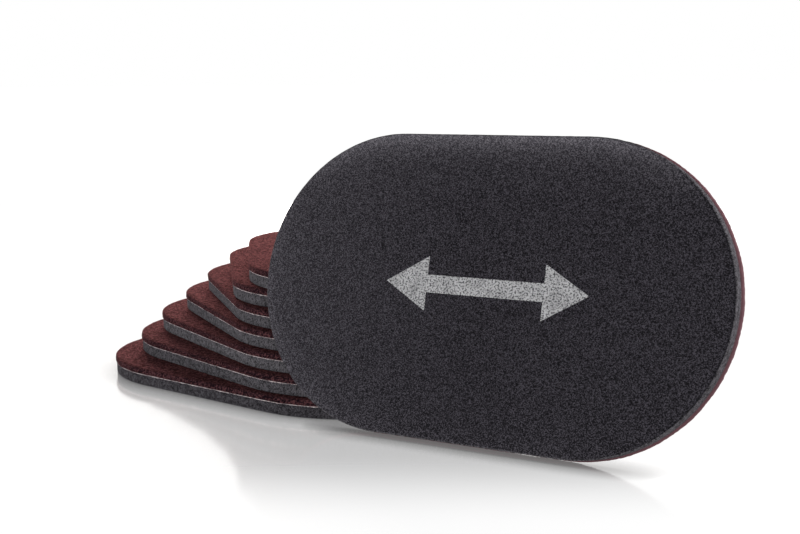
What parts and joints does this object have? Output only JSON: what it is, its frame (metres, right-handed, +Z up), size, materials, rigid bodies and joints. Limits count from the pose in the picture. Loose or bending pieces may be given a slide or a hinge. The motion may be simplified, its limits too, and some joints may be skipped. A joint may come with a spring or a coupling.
{
  "type": "furniture slider set",
  "caption": "Racetrack-shaped furniture sliders of charcoal foam bonded to brown felt: a fanned pile lying felt side up, with one more on edge leaning on it.",
  "frame": {"origin": "on the floor, under the centre of the near round end of the bottom slider of the pile", "axes": "+X along the leaning slider, +Y back from it towards the pile, +Z up; the leaning slider's foam face looks towards -Y"},
  "size_m": [0.3971, 0.2534, 0.1434],
  "materials": {
    "foam": "matt fine-celled charcoal foam",
    "bond": "pale glue film, seen only at its edge",
    "felt": "needled reddish brown felt, matt and a little fuzzy"
  },
  "bodies": {
    "front_slider": {"front_slider_foam": "foam", "front_slider_bond": "bond", "front_slider_felt": "felt"},
    "pile_slider_1": {"pile_slider_1_foam": "foam", "pile_slider_1_bond": "bond", "pile_slider_1_felt": "felt"},
    "pile_slider_2": {"pile_slider_2_foam": "foam", "pile_slider_2_bond": "bond", "pile_slider_2_felt": "felt"},
    "pile_slider_3": {"pile_slider_3_foam": "foam", "pile_slider_3_bond": "bond", "pile_slider_3_felt": "felt"},
    "pile_slider_4": {"pile_slider_4_foam": "foam", "pile_slider_4_bond": "bond", "pile_slider_4_felt": "felt"},
    "pile_slider_5": {"pile_slider_5_foam": "foam", "pile_slider_5_bond": "bond", "pile_slider_5_felt": "felt"},
    "pile_slider_6": {"pile_slider_6_foam": "foam", "pile_slider_6_bond": "bond", "pile_slider_6_felt": "felt"},
    "pile_slider_7": {"pile_slider_7_foam": "foam", "pile_slider_7_bond": "bond", "pile_slider_7_felt": "felt"}
  },
  "joints": [
    {"name": "front_slider_tip", "type": "hinge", "parent": "pile_slider_1", "child": "front_slider", "pos_m": [0.1095, -0.07607, 0.0004], "axis": [1, 0, 0], "range_deg": [0, 14.1]},
    {"name": "pile_slider_2_fan", "type": "hinge", "parent": "pile_slider_1", "child": "pile_slider_2", "pos_m": [-0.001, 0.00254, 0.0151], "axis": [0, 0, 1], "range_deg": [-160, 20]},
    {"name": "pile_slider_3_fan", "type": "hinge", "parent": "pile_slider_1", "child": "pile_slider_3", "pos_m": [-0.0045, 0.00757, 0.0252], "axis": [0, 0, 1], "range_deg": [-152, 28]},
    {"name": "pile_slider_4_fan", "type": "hinge", "parent": "pile_slider_1", "child": "pile_slider_4", "pos_m": [-0.005, 0.01161, 0.0353], "axis": [0, 0, 1], "range_deg": [-144, 36]},
    {"name": "pile_slider_5_fan", "type": "hinge", "parent": "pile_slider_1", "child": "pile_slider_5", "pos_m": [-0.005, 0.01515, 0.0454], "axis": [0, 0, 1], "range_deg": [-137, 43]},
    {"name": "pile_slider_6_fan", "type": "hinge", "parent": "pile_slider_1", "child": "pile_slider_6", "pos_m": [-0.0095, 0.02068, 0.0555], "axis": [0, 0, 1], "range_deg": [-128.5, 51.5]},
    {"name": "pile_slider_7_lift", "type": "slide", "parent": "pile_slider_1", "child": "pile_slider_7", "axis": [0, 0.2436, 0.9699], "range_m": [0, 0.1]}
  ]
}
